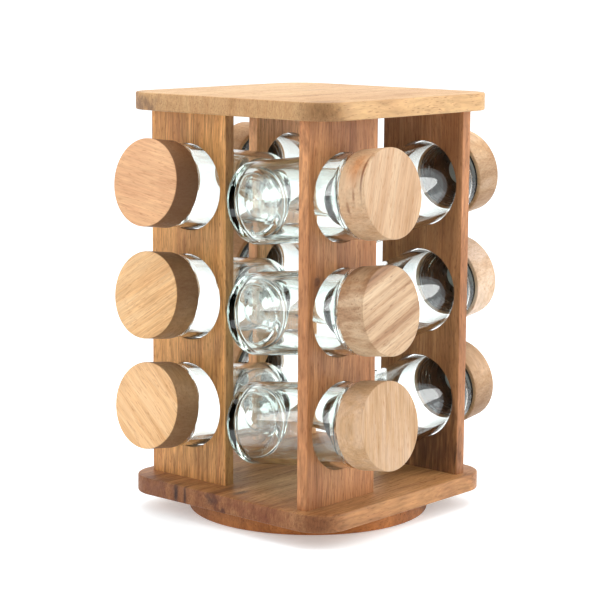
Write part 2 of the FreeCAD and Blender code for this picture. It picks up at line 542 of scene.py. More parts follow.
@dataclass(frozen=True)
class Grain:
    """How a piece was sawn from its plank.

    Args:
        centre: The piece's centre, in metres.
        along: Direction of the grain.
        face: Normal of the piece's broad face.
    """

    centre: Vector
    along: Vector
    face: Vector

    @property
    def axes(self) -> Matrix:
        """The plank's axes: along the grain, across it, and through its thickness."""
        through = (self.face - self.along * self.face.dot(self.along)).normalized()
        return Matrix((self.along, through.cross(self.along), through)).transposed()


@dataclass(frozen=True)
class Blemish:
    """A patch laid into the wood's colour: a knot, heartwood, and on some pieces painted shade.

    Args:
        place: Its centre in millimetres from the piece's, along, across and through.
        reach: Its half size in millimetres, along, across and through.
        tone: Its sRGB hex colour.
        strength: How much of that colour shows at its heart.
        swirl: How far it pushes the grain aside, in millimetres.
        ragged: How far its edge strays, as a share of its size.
    """

    place: tuple[float, float, float]
    reach: tuple[float, float, float]
    tone: str
    strength: float = 0.8
    swirl: float = 0.0
    ragged: float = 0.9


@dataclass(frozen=True)
class OiledAcacia:
    """Sanded and oiled acacia: honey to umber figure, open pores and a satin sheen.

    Args:
        name: The material's name.
        grain: How the piece was sawn.
        pale: Colour of the lightest sapwood.
        honey: Its usual colour.
        amber: Colour of the darker growth.
        umber: Colour of the thin heartwood streaks.
        seed: Picks the plank.
        streak_width: Width of the figure's streaks, in millimetres.
        streak_length: Their length, in millimetres.
        line_depth: How dark the fibres' lines are: 1 for none, 0 for black.
        bend: How far the grain wanders, in millimetres.
        warmth: Moves the figure towards pale (below 0) or towards dark (above 0).
        stave: Width of the glued staves, in millimetres, or 0 for one plank.
        stave_start: Where the first joint lies across the grain, in millimetres.
        oil_tone: What the oil turns the end grain towards.
        end_grain: How much darker the oil turns the end grain, from 0 to 1.
        edge_stain: How much painted shade darkens the faces turned away from the broad face, from 0
            to 1.
        blemishes: Knots, heartwood and patches of painted shade.
    """

    name: str
    grain: Grain
    pale: str = "#dcae7c"
    honey: str = "#c49361"
    amber: str = "#a97545"
    umber: str = "#74492a"
    seed: float = 0.0
    streak_width: float = 6.0
    streak_length: float = 140.0
    line_depth: float = 0.74
    bend: float = 6.0
    warmth: float = 0.0
    stave: float = 0.0
    stave_start: float = 0.0
    oil_tone: str = "#4a2c1a"
    end_grain: float = 0.45
    edge_stain: float = 0.0
    blemishes: tuple[Blemish, ...] = ()

    FIBRE = (16.0, 0.75, 2.2)       # mm along, across and through; coarser than real, to show
    PORE = (4.5, 0.6, 0.75)         # mm; coarser than real, to show
    CLOUD = (60.0, 26.0, 26.0)      # mm, of the slow changes of tone over a plank
    RELIEF = 0.06                   # mm between a pore's floor and the sanded face
    DRIFT = (80.0, 34.0, 34.0)      # mm, of the slow wander of the grain
    STAVE_SHIFT = 5.37              # sets the noise of one stave apart from the next
    STAVE_TONE = 0.09               # how far the staves differ in tone
    STAIN = "#543621"               # painted shade: the colour laid on the faces turned away from a broad face

    def clouds(self, tree: Tree, place: Socket, plank: Socket,
               size: tuple[float, float, float], detail: float, shift: float) -> Socket:
        """Variation stretched along the grain.

        Args:
            tree: The material's node tree.
            place: Position in the plank, in millimetres.
            plank: Number that tells one stave's pattern from the next.
            size: Size of a cloud along, across and through the grain, in millimetres.
            detail: Octaves.
            shift: Keeps one pattern apart from another.

        Returns:
            A value about 0.5.
        """
        scaled = add(tree, "Mapping", {
            "Vector": place, "Scale": tuple(1.0 / length for length in size)})
        return add(tree, "TexNoise", {
            "Vector": scaled.outputs[0], "W": reckon(tree, "ADD", plank, shift), "Scale": 1.0,
            "Detail": detail, "Roughness": 0.6}, noise_dimensions="4D").outputs[0]

    def staves(self, tree: Tree, place: Socket) -> tuple[Socket, Socket]:
        """Tells the glued staves apart.

        Args:
            tree: The material's node tree.
            place: Position in the plank, in millimetres.

        Returns:
            A number for each stave's pattern, and its tone from 0 to 1.
        """
        across = add(tree, "SeparateXYZ", {0: place}).outputs["Y"]
        # one plank is a stave too wide to show a joint
        width = self.stave or 1000.0
        start = self.stave_start if self.stave else 500.0
        count = reckon(tree, "DIVIDE", reckon(tree, "ADD", across, -start), width)
        plank = reckon(tree, "MULTIPLY_ADD", reckon(tree, "FLOOR", count), self.STAVE_SHIFT,
                       self.seed)
        tone = add(tree, "TexWhiteNoise", {"W": plank}, noise_dimensions="1D")
        return plank, tone.outputs["Value"]

    def nearness(self, tree: Tree, place: Socket, blemish: Blemish, ragged: float) -> Socket:
        """How near a point is to a patch's heart, from 0 at its edge to 1.

        Args:
            tree: The material's node tree.
            place: Position in the plank, in millimetres.
            blemish: The knot, heartwood patch, patch of painted shade.
            ragged: How far its edge strays, as a share of its size.

        Returns:
            The nearness.
        """
        local = add(tree, "Mapping", {
            "Vector": place, "Location": blemish.place, "Scale": blemish.reach},
            vector_type="TEXTURE")
        away = add(tree, "VectorMath", {0: local.outputs[0]}, operation="LENGTH").outputs["Value"]
        if ragged:
            scaled = add(tree, "Mapping", {"Vector": place, "Scale": (0.06, 0.3, 0.3)})
            edge = add(tree, "TexNoise", {"Vector": scaled.outputs[0], "Scale": 1.0, "Detail": 3.0})
            edge = reckon(tree, "ADD", edge.outputs[0], -0.5)
            away = reckon(tree, "MULTIPLY_ADD", edge, 2.0 * ragged, away)
        return remap(tree, away, (1.0, 0.0), eased=True)

    def bent(self, tree: Tree, place: Socket, plank: Socket) -> Socket:
        """Lets the grain wander, and go round the knots.

        Args:
            tree: The material's node tree.
            place: Position in the plank, in millimetres.
            plank: Number that tells one stave's pattern from the next.

        Returns:
            The position that the figure is read at.
        """
        drift = self.clouds(tree, place, plank, self.DRIFT, 1.0, 11.3)
        aside = reckon(tree, "MULTIPLY_ADD", drift, 2.0 * self.bend, -self.bend)
        for blemish in self.blemishes:
            if blemish.swirl:
                near = self.nearness(tree, place, blemish, 0.0)
                aside = reckon(tree, "MULTIPLY_ADD", near, blemish.swirl, aside)
        offset = add(tree, "CombineXYZ", {"Y": aside, "Z": aside})
        return add(tree, "VectorMath", {0: place, 1: offset.outputs[0]},
                   operation="ADD").outputs[0]

    def figure(self, tree: Tree, bent: Socket, plank: Socket, tone: Socket) -> Socket:
        """Bands, streaks and stave tone, before the fibres and pores.

        Args:
            tree: The material's node tree.
            bent: Position in the plank, its grain's wander taken in.
            plank: Number that tells one stave's pattern from the next.
            tone: The stave's tone, from 0 to 1.

        Returns:
            The colour.
        """
        width = self.streak_width
        streaks = self.clouds(tree, bent, plank, (self.streak_length, width, 4.0 * width), 4.0, 0.0)
        bands = self.clouds(tree, bent, plank,
                            (1.6 * self.streak_length, 3.2 * width, 9.0 * width), 2.0, 3.1)
        cloud = self.clouds(tree, bent, plank, self.CLOUD, 2.0, 6.4)
        mixed = add(tree, "Mix", {"Factor": 0.45, "A": streaks, "B": bands}).outputs[0]
        mixed = add(tree, "Mix", {"Factor": 0.25, "A": mixed, "B": cloud}).outputs[0]
        spread = self.STAVE_TONE if self.stave else 0.0
        shade = reckon(tree, "MULTIPLY_ADD", tone, spread, -self.warmth - spread / 2)
        mixed = reckon(tree, "ADD", mixed, shade)
        return add(tree, "ValToRGB", {"Fac": mixed}, stops=(
            (0.33, self.umber), (0.41, self.amber), (0.50, self.honey), (0.62, self.pale),
        )).outputs["Color"]

    def facing(self, tree: Tree, space: bpy.types.Node, way: Vector) -> Socket:
        """How squarely the surface faces a direction, from -1 to 1."""
        return add(tree, "VectorMath", {0: space.outputs["Normal"], 1: way},
                   operation="DOT_PRODUCT").outputs["Value"]

    def material(self) -> bpy.types.Material:
        """Builds the wood.

        Returns:
            The finished material.
        """
        material = new_material(self.name)
        tree = material.node_tree
        space = add(tree, "TexCoord")
        place = add(tree, "Mapping", {
            "Vector": space.outputs["Object"], "Location": self.grain.centre,
            "Rotation": self.grain.axes.to_euler(), "Scale": (mm(1.0),) * 3},
            vector_type="TEXTURE").outputs[0]
        plank, tone = self.staves(tree, place)
        bent = self.bent(tree, place, plank)
        colour = self.figure(tree, bent, plank, tone)
        fibre = self.clouds(tree, bent, plank, self.FIBRE, 2.0, 7.7)
        pore = self.clouds(tree, bent, plank, self.PORE, 1.0, 9.2)

        # fibres: fine lines a little lighter and darker than the figure under them
        lines = remap(tree, fibre, (0.32, 0.68), (self.line_depth, 1.12))
        colour = blend(tree, 1.0, colour, lines, "MULTIPLY")
        # pores: short dark dashes where the vessels lie open
        dash = remap(tree, pore, (0.58, 0.72), (0.0, 0.6))
        colour = blend(tree, dash, colour, linear(self.umber))
        # end grain drinks more oil, so it is darker and duller
        facing = reckon(tree, "ABSOLUTE", self.facing(tree, space, self.grain.along))
        ends = remap(tree, facing, (0.35, 0.95), (0.0, self.end_grain), eased=True)
        colour = blend(tree, ends, colour, linear(self.oil_tone))
        # painted shade: a piece's faces turned away from its broad face, its sides and back, are
        # darkened
        if self.edge_stain:
            broad = self.facing(tree, space, self.grain.face)
            stain_or_shade = remap(tree, broad, (0.2, 0.6), (self.edge_stain, 0.0))
            colour = blend(tree, stain_or_shade, colour, linear(self.STAIN))
        # knots, heartwood and patches of painted shade, with the fibres still showing in them
        for blemish in self.blemishes:
            near = self.nearness(tree, place, blemish, blemish.ragged)
            stain_or_shade = blend(tree, 1.0, linear(blemish.tone), lines, "MULTIPLY")
            colour = blend(tree, reckon(tree, "MULTIPLY", near, blemish.strength), colour, stain_or_shade)
        # satin oil, duller in the pores and on the end grain
        dull = remap(tree, fibre, (0.3, 0.7), (0.52, 0.38))
        dull = reckon(tree, "MULTIPLY_ADD", dash, 0.3, dull)
        dull = reckon(tree, "MULTIPLY_ADD", ends, 0.3, dull)
        height = reckon(tree, "MULTIPLY_ADD", dash, -1.2, fibre)
        coat(tree, {
            "Base Color": colour, "Roughness": dull, "IOR": 1.45, "Specular IOR Level": 0.3,
            "Normal": bump(tree, height, 0.7, self.RELIEF)})
        return material


@dataclass(frozen=True)
class FlintGlass:
    """Pressed soda-lime glass: clear, wavy, and green where one looks along its walls.

    Args:
        name: The material's name.
        tint: What its iron leaves of white light, as an sRGB hex colour.
        density: How fast it colours light, per metre.
        wave: Size of the mould's slow waves, in millimetres.
        smudge: Size of the handling marks, in millimetres.
    """

    name: str = "pressed_soda_lime_glass"
    tint: str = "#95f0d0"
    density: float = 6.0
    wave: float = 30.0
    smudge: float = 7.0

    def material(self) -> bpy.types.Material:
        """Builds the glass.

        Returns:
            The finished material.
        """
        material = new_material(self.name)
        tree = material.node_tree
        space = add(tree, "TexCoord")
        haze = remap(tree, mottle(tree, space, self.smudge, 4.0), (0.5, 0.8), (0.0, 0.06))
        waves = bump(tree, mottle(tree, space, self.wave, 1.0), 0.14, 0.10)
        glass = add(tree, "BsdfPrincipled", {
            "Base Color": linear("#fdfffe"), "Roughness": haze, "IOR": 1.52,
            "Transmission Weight": 1.0, "Normal": waves})
        # lamps shine through, so that the jars cast pale shadows
        clear = add(tree, "BsdfTransparent", {"Color": linear("#f6fbf9")})
        path = add(tree, "LightPath")
        both = add(tree, "MixShader", {
            0: path.outputs["Is Shadow Ray"], 1: glass.outputs[0], 2: clear.outputs[0]})
        iron = add(tree, "VolumeAbsorption", {"Color": linear(self.tint), "Density": self.density})
        add(tree, "OutputMaterial", {"Surface": both.outputs[0], "Volume": iron.outputs[0]})
        return material


class Sheen(Enum):
    """How a moulded or rubber surface comes out of its tool."""

    SATIN = (0.34, 0.10)
    MATT = (0.62, 0.20)

    @property
    def roughness(self) -> float:
        """The smoothest roughness on it."""
        return self.value[0]

    @property
    def spread(self) -> float:
        """How much rougher its roughest spots are."""
        return self.value[1]


@dataclass(frozen=True)
class MouldedPolymer:
    """Polypropylene or rubber: one colour in the mass, a fine texture from the mould.

    Args:
        name: The material's name.
        colour: Its sRGB hex colour.
        rubbed: The colour of the spots that handling has polished or paled.
        sheen: How it leaves the mould.
        grit: Size of the mould's texture, in millimetres.
    """

    name: str
    colour: str
    rubbed: str
    sheen: Sheen
    grit: float = 0.6

    def material(self) -> bpy.types.Material:
        """Builds the polymer.

        Returns:
            The finished material.
        """
        material = new_material(self.name)
        tree = material.node_tree
        space = add(tree, "TexCoord")
        grit = mottle(tree, space, self.grit, 2.0)
        colour = add(tree, "ValToRGB", {"Fac": mottle(tree, space, 9.0, 3.0)},
                     stops=((0.45, self.colour), (0.75, self.rubbed)))
        low = self.sheen.roughness
        coat(tree, {
            "Base Color": colour.outputs[0],
            "Roughness": remap(tree, grit, (0.3, 0.7), (low, low + self.sheen.spread)),
            "Normal": bump(tree, grit, 0.4, 0.04)})
        return material


@dataclass(frozen=True)
class TurnedSteel:
    """Bright steel with the fine rings that turning, rolling or plating leaves.

    Args:
        name: The material's name.
        colour: Its sRGB hex colour.
        stained: Its colour where the oil has browned it.
        roughness: Of its polished spots.
    """

    name: str
    colour: str
    stained: str
    roughness: float

    def material(self) -> bpy.types.Material:
        """Builds the steel.

        Returns:
            The finished material.
        """
        material = new_material(self.name)
        tree = material.node_tree
        space = add(tree, "TexCoord")
        rings = add(tree, "TexWave", {
            "Vector": space.outputs["Object"], "Scale": 0.314 / mm(0.8), "Distortion": 0.4},
            wave_type="RINGS", rings_direction="Z")
        stain_or_shade = mottle(tree, space, 6.0, 4.0)
        colour = add(tree, "ValToRGB", {"Fac": stain_or_shade},
                     stops=((0.5, self.colour), (0.72, self.stained)))
        coat(tree, {
            "Base Color": colour.outputs[0], "Metallic": 1.0,
            "Roughness": remap(tree, stain_or_shade, (0.0, 1.0), (self.roughness, self.roughness + 0.3)),
            "Normal": bump(tree, rings.outputs["Fac"], 0.3, 0.02)})
        return material


# ---- the rack ------------------------------------------------------------------------
@dataclass
class Panels:
    """The four upright panels, each with three round holes straight through it."""

    hole_radius: float = 24.15
    hole_pitch: float = 62.0
    edge_round: float = 0.5
    rim_round: float = 0.45

    def woods(self) -> dict[Side, OiledAcacia]:
        """Each panel's plank, its grain upright.

        Returns:
            The finish of each side's panel.
        """
        planks = {}
        looks = {
            # painted shade: the front panel's edges and inner face are darkened, and so is its
            # lower part
            Side.FRONT: dict(seed=3.1, pale="#eaae6d", honey="#d39759", amber="#b97c48",
                             umber="#764624", streak_width=3.6, line_depth=0.52,
                             edge_stain=0.55, blemishes=(
                                 Blemish((-95.0, 10.0, -3.5), (70.0, 34.0, 12.0), "#84562c",
                                         0.75),)),
            Side.RIGHT: dict(seed=8.6, pale="#c88f5e", honey="#b1784c", amber="#9b633b",
                             umber="#6f3d21", streak_width=4.0, line_depth=0.60,
                             oil_tone="#5a2f1c",
                             blemishes=(
                                 Blemish((19.0, 20.5, 3.5), (4.0, 3.6, 6.0), "#4a2a1b", 0.9, 4.0),
                                 Blemish((12.5, 19.5, 3.5), (5.0, 2.6, 6.0), "#3d2117", 0.9, 3.0),
                                 Blemish((18.0, 21.0, 3.5), (16.0, 9.0, 6.0), "#7d4d33", 0.65),
                             )),
            # painted shade: the back panel's lower part is darkened, where it lies inside the rack
            Side.BACK: dict(seed=14.2, pale="#b98157", honey="#a56e45", amber="#8e5b36",
                            umber="#59341f", line_depth=0.62, streak_width=4.0,
                            blemishes=(
                                Blemish((-88.0, 8.0, -3.5), (46.0, 40.0, 9.0), "#4a2610", 0.85),)),
            # painted light: the left panel's tones are made paler, to brighten its inner face
            # inside the rack
            Side.LEFT: dict(seed=21.7, pale="#f1b884", honey="#daa16e", amber="#bb8356",
                            umber="#7c4c2f", line_depth=0.62, streak_width=4.0),
        }
        for side in Side:
            low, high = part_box(f"{side.word}_panel")
            outward = side.quarter_turn @ Vector((0.0, -1.0, 0.0))
            planks[side] = OiledAcacia(f"oiled_acacia_{side.word}_panel",
                                       Grain((low + high) / 2, UP, outward), **looks[side])
        return planks

    def front(self) -> bpy.types.Object:
        """Shapes the front panel in its place.

        Returns:
            The drilled panel, its edges and rims eased.
        """
        low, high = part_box("front_panel")
        middle = (low + high) / 2
        piece = block("panel_pattern", low, high)
        with editing(piece):
            pick(piece, "EDGE", lambda _, way: abs(way.z) > 0.9)
            bpy.ops.mesh.bevel(offset=mm(self.edge_round), segments=3, affect="EDGES")
        depth = 2 * (high.y - low.y)
        for row in Row:
            centre = middle + UP * mm(self.hole_pitch * row.value)
            drill(piece, self.hole_radius, depth, centre, level=True)
        self.ease_rims(piece, middle, (low.y, high.y))
        return smooth(piece)

    def ease_rims(self, piece: bpy.types.Object, middle: Vector,
                  faces: tuple[float, float]) -> None:
        """Eases the six rims of the holes.

        Args:
            piece: The drilled panel.
            middle: Its centre.
            faces: Where its two broad faces lie along Y.
        """
        def on_rim(centre: Vector, _: Vector) -> bool:
            """Whether an edge lies on a rim.

            Args:
                centre: The edge's middle.

            Returns:
                True on the rim of a hole, at one of the broad faces.
            """
            off = min(math.hypot(centre.x - middle.x, centre.z - middle.z - mm(
                self.hole_pitch * row.value)) for row in Row)
            on_face = min(abs(centre.y - face) for face in faces)
            return abs(off - mm(self.hole_radius)) < mm(0.05) and on_face < mm(0.01)

        with editing(piece):
            pick(piece, "EDGE", on_rim)
            bpy.ops.mesh.bevel(offset=mm(self.rim_round), segments=3, affect="EDGES")

    def build(self) -> None:
        """Shapes and dresses all four panels."""
        pattern = self.front()
        for side, wood in self.woods().items():
            piece = copy_to(pattern, f"{side.word}_drilled_panel", side.quarter_turn)
            dress(piece, wood.material())
            fit(piece, "carousel", "panel_wood", f"{side.word}_panel")
        put_away(pattern)


@dataclass
class Boards:
    """The square boards above and below the panels, glued up from staves."""

    corner_radius: float = 19.0
    edge_round: float = 0.9
    glue_gap: float = 0.05
    race_outer: float = 50.6
    race_inner: float = 33.95
    pocket_depth: float = 4.5

    def blank(self, node: str) -> bpy.types.Object:
        """A board with round corners and eased edges, before it is grooved.

        Args:
            node: The frame's node that gives its place.

        Returns:
            The board.
        """
        low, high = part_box(node)
        piece = block(f"{node}_of_staves", low, high)
        with editing(piece):
            pick(piece, "EDGE", lambda _, way: abs(way.z) > 0.9)
            bpy.ops.mesh.bevel(offset=mm(self.corner_radius), segments=24, affect="EDGES")
            pick(piece, "FACE", lambda _, normal: abs(normal.z) > 0.9)
            bpy.ops.mesh.bevel(offset=mm(self.edge_round), segments=4, affect="EDGES")
        return piece

    def groove(self, piece: bpy.types.Object, floor: float, top: float) -> None:
        """Lets the four panels' ends into a board.

        Args:
            piece: The board.
            floor: Height of one end of the grooves.
            top: Height of their other end.
        """
        play = Vector((mm(self.glue_gap), mm(self.glue_gap), 0.0))
        for side in Side:
            low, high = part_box(f"{side.word}_panel")
            low, high = low - play, high + play
            low.z, high.z = floor, top
            cut(piece, block("groove", low, high))

    def wood(self, name: str, node: str, **looks: object) -> OiledAcacia:
        """A board's staves, their grain along Y.

        Args:
            name: The material's name.
            node: The frame's node that gives the board's place.
            looks: The finish's other fields.

        Returns:
            The board's finish.
        """
        low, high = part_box(node)
        return OiledAcacia(name, Grain((low + high) / 2, Vector((0.0, 1.0, 0.0)), UP), **looks)

    def top(self) -> None:
        """Shapes and dresses the top board."""
        piece = self.blank("top_board")
        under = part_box("top_board")[0].z
        panel_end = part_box("front_panel")[1].z
        self.groove(piece, under - mm(1.0), panel_end + mm(self.glue_gap))
        wood = self.wood(
            "oiled_acacia_top_board", "top_board", seed=4.4, stave=43.0, stave_start=-61.0,
            pale="#c49e6e", honey="#b68c5e", amber="#a07748", umber="#734c35", warmth=-0.05,
            streak_width=6.0, line_depth=0.78, oil_tone="#6b3f1d", end_grain=0.28, blemishes=(
                Blemish((13.0, 10.5, 4.9), (27.0, 2.2, 1.4), "#6d4529", 0.85, 0.0, 0.7),
                Blemish((-75.0, 60.0, -1.0), (16.0, 17.0, 9.0), "#6a4f3d", 0.75),
                # painted shade on the board's front corner
                Blemish((-66.0, -66.0, -1.0), (22.0, 19.0, 16.0), "#6e4727", 0.85, 0.0, 0.15),
            ))
        dress(piece, wood.material())
        fit(smooth(piece), "carousel", "board_wood", "top_board")

    def bottom(self) -> None:
        """Shapes and dresses the bottom board, with its bearing pocket."""
        piece = self.blank("bottom_board")
        low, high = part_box("bottom_board")
        panel_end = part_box("front_panel")[0].z
        self.groove(piece, panel_end - mm(self.glue_gap), high.z + mm(1.0))
        below, depth = 1000.0 * low.z - 1.0, 1000.0 * low.z + self.pocket_depth
        cut(piece, turn("pocket", (
            Corner(self.race_inner, below), Corner(self.race_outer, below),
            Corner(self.race_outer, depth), Corner(self.race_inner, depth),
            Corner(self.race_inner, below))))
        wood = self.wood(
            "oiled_acacia_bottom_board", "bottom_board", seed=9.9, stave=37.5,
            stave_start=-37.5, pale="#c29161", honey="#aa7649", amber="#905e38",
            umber="#512f1c", warmth=0.02, streak_width=5.0, line_depth=0.66,
            oil_tone="#55240f", end_grain=0.48, blemishes=(
                Blemish((-75.0, 33.5, 0.0), (14.0, 2.6, 12.0), "#33201a", 0.95, 0.0, 0.3),
                Blemish((-75.0, 26.5, 0.0), (12.0, 1.8, 12.0), "#33201a", 0.95, 0.0, 0.3),
                Blemish((-75.0, 6.0, 1.0), (12.0, 8.0, 5.0), "#4c3024", 0.85, 3.0),
                Blemish((-75.0, -2.5, -3.5), (8.0, 4.0, 2.4), "#2f1c17", 0.9, 2.0),
                Blemish((-72.0, -24.0, 0.0), (12.0, 36.0, 14.0), "#6f3a22", 0.7),
                Blemish((-72.0, 55.0, 0.0), (12.0, 20.0, 14.0), "#6e4536", 0.6),
                Blemish((-63.0, -5.0, 4.9), (9.0, 3.0, 3.0), "#4f3423", 0.8, 3.0),
                # painted shade on the board's front corner
                Blemish((-67.0, -67.0, 0.0), (20.0, 18.0, 16.0), "#67391b", 0.85, 0.0, 0.2),
                Blemish((-72.5, -70.0, 3.0), (3.0, 2.6, 1.8), "#2e1d14", 0.9, 1.5),
                Blemish((10.0, -75.0, 0.0), (80.0, 12.0, 12.0), "#c8955f", 0.45),
            ))
        dress(piece, wood.material())
        fit(smooth(piece), "carousel", "board_wood", "bottom_board")

    def build(self) -> None:
        """Shapes and dresses both boards."""
        self.top()
        self.bottom()


# ---- the turntable -------------------------------------------------------------------
@dataclass
class Turntable:
    """The round base, its feet, and the ring of balls that the rack turns on."""

    edge_round: float = 1.1
    race_outer: float = 50.05
    race_inner: float = 33.4
    pocket_depth: float = 4.5
    ball_circle: float = 42.0
    ball_groove: float = 2.55
    race_gap: float = 0.35
    pad_radius: float = 7.0
    pad_circle: float = 54.0
    pad_count: int = 4
    pad_round: float = 0.3
    pad_play: float = 0.05

    def disc(self) -> None:
        """Turns the base, with its bearing pocket above and the feet's pockets below."""
        low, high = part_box("base_disc")
        rim, under, over = (1000.0 * value for value in (high.x, low.z, high.z))
        floor = over - self.pocket_depth
        piece = turn("turned_base", (
            Corner(0.0, under), Corner(rim, under, self.edge_round, 4),
            Corner(rim, over, self.edge_round, 4), Corner(self.race_outer, over),
            Corner(self.race_outer, floor), Corner(self.race_inner, floor),
            Corner(self.race_inner, over), Corner(0.0, over)), steps=2 * TURNING_STEPS)
        pad_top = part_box("foot_pads")[1].z
        for place in self.pad_places():
            drill(piece, self.pad_radius + self.pad_play, 2 * pad_top, place, facets=64)
        wood = OiledAcacia(
            "oiled_acacia_base", Grain((low + high) / 2, Vector((0.6, 0.8, 0.0)), UP),
            pale="#bd783e", honey="#a46430", amber="#884e23", umber="#552b14", seed=17.3,
            streak_width=6.0, stave=46.0, stave_start=-20.0, end_grain=0.35,
            # painted shadow of the boards on the base's right side
            blemishes=(Blemish((66.0, -14.0, 0.0), (46.0, 46.0, 14.0), "#4f3322", 0.7),))
        dress(piece, wood.material())
        fit(smooth(piece), "base", "base_wood", "base_disc")

    def pad_places(self) -> list[Vector]:
        """Where the feet are, on the diagonals."""
        turns = (math.radians(45.0 + 360.0 * i / self.pad_count) for i in range(self.pad_count))
        return [mm(self.pad_circle) * Vector((math.cos(t), math.sin(t), 0.0)) for t in turns]

    def feet(self) -> None:
        """Shapes the rubber feet."""
        thick = 1000.0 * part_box("foot_pads")[1].z
        pattern = turn("foot_pattern", (
            Corner(0.0, 0.0), Corner(self.pad_radius, 0.0, self.pad_round, 3),
            Corner(self.pad_radius, thick), Corner(0.0, thick)), steps=48)
        feet = [copy_to(pattern, f"foot_{number}", Matrix.Translation(place))
                for number, place in enumerate(self.pad_places())]
        put_away(pattern)
        piece = smooth(join("rubber_feet", feet))
        rubber = MouldedPolymer("black_rubber_sheet", "#1b1a19", "#353230", Sheen.MATT, 0.8)
        dress(piece, rubber.material())
        fit(piece, "base", "pad_rubber", "foot_pads")

    def race(self, name: str, node: str, body: str, outer: bool,
             steel: bpy.types.Material) -> None:
        """Turns one race, with the groove that its balls run in.

        Args:
            name: The piece's name.
            node: The frame's node that it stands for.
            body: The body that it rides on.
            outer: Whether it runs outside the balls.
            steel: Its finish.
        """
        low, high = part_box(node)
        under, over = 1000.0 * low.z, 1000.0 * high.z
        ball_low, ball_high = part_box("bearing_balls")
        level = 500.0 * (ball_low.z + ball_high.z)
        sense = 1.0 if outer else -1.0
        wall = self.ball_circle + sense * self.race_gap
        back = 1000.0 * high.x if outer else self.race_inner + 0.6
        reach = math.asin(self.race_gap / self.ball_groove)
        turns = [math.pi / 2 - reach - (math.pi - 2 * reach) * i / 16 for i in range(17)]
        groove = [Corner(self.ball_circle + sense * self.ball_groove * math.cos(t),
                         level + self.ball_groove * math.sin(t)) for t in turns]
        piece = turn(name, (
            Corner(back, under), Corner(back, over), Corner(wall, over), *groove,
            Corner(wall, under), Corner(back, under)))
        dress(piece, steel)
        fit(smooth(piece), body, "race_steel", node)

    def build(self) -> None:
        """Shapes and dresses the turntable."""
        self.disc()
        self.feet()
        steel = TurnedSteel("turned_bearing_steel", "#b9babb", "#8f8474", 0.24).material()
        self.race("outer_race", "lower_race", "base", True, steel)
        self.race("inner_race", "upper_race", "carousel", False, steel)
        balls = TurnedSteel("polished_ball_steel", "#d5d6d8", "#a9a59c", 0.08).material()
        dress(frame["nodes"]["bearing_balls"], balls)
        zinc = TurnedSteel("zinc_plated_steel", "#b8b2a0", "#8d8468", 0.30).material()
        dress(frame["nodes"]["panel_screws"], zinc)


# ---- the jars ------------------------------------------------------------------------
@dataclass
class Jar:
    """One jar's parts in its own frame: its bottom at the origin, its cap along +Z."""

    radius: float = 23.2
    wall: float = 2.8
    heel: float = 4.0
    floor: float = 4.5
    floor_round: float = 5.0
    push_up: float = 0.8
    push_up_radius: float = 14.0
    stipple_inner: float = 16.7
    stipple_outer: float = 18.3
    stipple_raise: float = 0.55
    stipple_inset: float = 0.32
    shoulder: float = 81.7
    shoulder_round: float = 3.2
    inner_shoulder: float = 80.6
    neck_radius: float = 18.2
    neck_fillet: float = 1.1
    neck_bore: float = 15.6
    lip: float = 94.2
    lip_round: float = 0.7
    thread_radius: float = 19.2
    thread_pitch: float = 3.6
    thread_turns: float = 1.5
    thread_start: float = 85.6
    thread_root: float = 1.9
    thread_crest: float = 0.9

    def thread(self, name: str, root: float, crest: float, start: float) -> bpy.types.Object:
        """Winds a right-handed thread about Z.

        Args:
            name: The object's name.
            root: Radius of its foot, in millimetres.
            crest: Radius of its crest.
            start: Height of its lower end.

        Returns:
            The thread, closed at both ends.
        """
        half_root, half_crest = self.thread_root / 2, self.thread_crest / 2
        section = ((root, -half_root), (crest, -half_crest), (crest, half_crest),
                   (root, half_root), (root, -half_root))
        piece = trace(name, [(radius, start + height) for radius, height in section])
        wind = piece.modifiers.new("wind", "SCREW")
        wind.angle = 2 * math.pi * self.thread_turns
        wind.screw_offset = mm(self.thread_pitch * self.thread_turns)
        wind.steps = wind.render_steps = int(48 * self.thread_turns)
        bpy.ops.object.modifier_apply(modifier=wind.name)
        with editing(piece):
            bpy.ops.mesh.select_all(action="SELECT")
            bpy.ops.mesh.fill_holes(sides=0)
            close_seams()
        return piece

    def glass(self) -> bpy.types.Object:
        """Shapes the jar: thick floor, stippled foot, full shoulder, threaded neck.

        Returns:
            The jar.
        """
        bore = self.radius - self.wall
        piece = turn("jar_pattern", (
            Corner(0.0, self.push_up), Corner(0.6 * self.push_up_radius, 0.64 * self.push_up, 12.0),
            Corner(self.push_up_radius, 0.0, 1.5, 3), Corner(self.stipple_inner, 0.0),
            Corner(self.stipple_outer, 0.0), Corner(self.radius, 0.0, self.heel, 10),
            Corner(self.radius, self.shoulder, self.shoulder_round, 10),
            Corner(self.neck_radius, self.shoulder, self.neck_fillet, 5),
            Corner(self.neck_radius, self.lip, self.lip_round, 5),
            Corner(self.neck_bore, self.lip, self.lip_round, 5),
            Corner(self.neck_bore, self.inner_shoulder),
            Corner(bore, self.inner_shoulder, bore - self.neck_bore - 0.2, 10),
            Corner(bore, self.floor, self.floor_round, 10), Corner(0.0, self.floor)))
        self.stipple(piece)
        cut(piece, self.thread("thread", self.neck_radius - 0.3, self.thread_radius,
                               self.thread_start), keep=True)
        return smooth(piece, math.radians(40.0))

    def stipple(self, piece: bpy.types.Object) -> None:
        """Raises the ring of short bars that keeps the jar's foot from sliding.

        Args:
            piece: The jar.
        """
        facet = 2 * math.pi / TURNING_STEPS

        def every_other(centre: Vector, normal: Vector) -> bool:
            """Whether a face of the foot's ring is one that a bar stands on.

            Args:
                centre: The face's middle.
                normal: Its normal.

            Returns:
                True for every other face of the ring.
            """
            off = 1000.0 * math.hypot(centre.x, centre.y)
            number = math.floor(math.atan2(centre.y, centre.x) / facet)
            on_ring = self.stipple_inner < off < self.stipple_outer
            return on_ring and normal.z < -0.99 and number % 2 == 0

        with editing(piece):
            pick(piece, "FACE", every_other)
            bpy.ops.mesh.inset(thickness=mm(self.stipple_inset), depth=mm(self.stipple_raise),
                               use_individual=True)


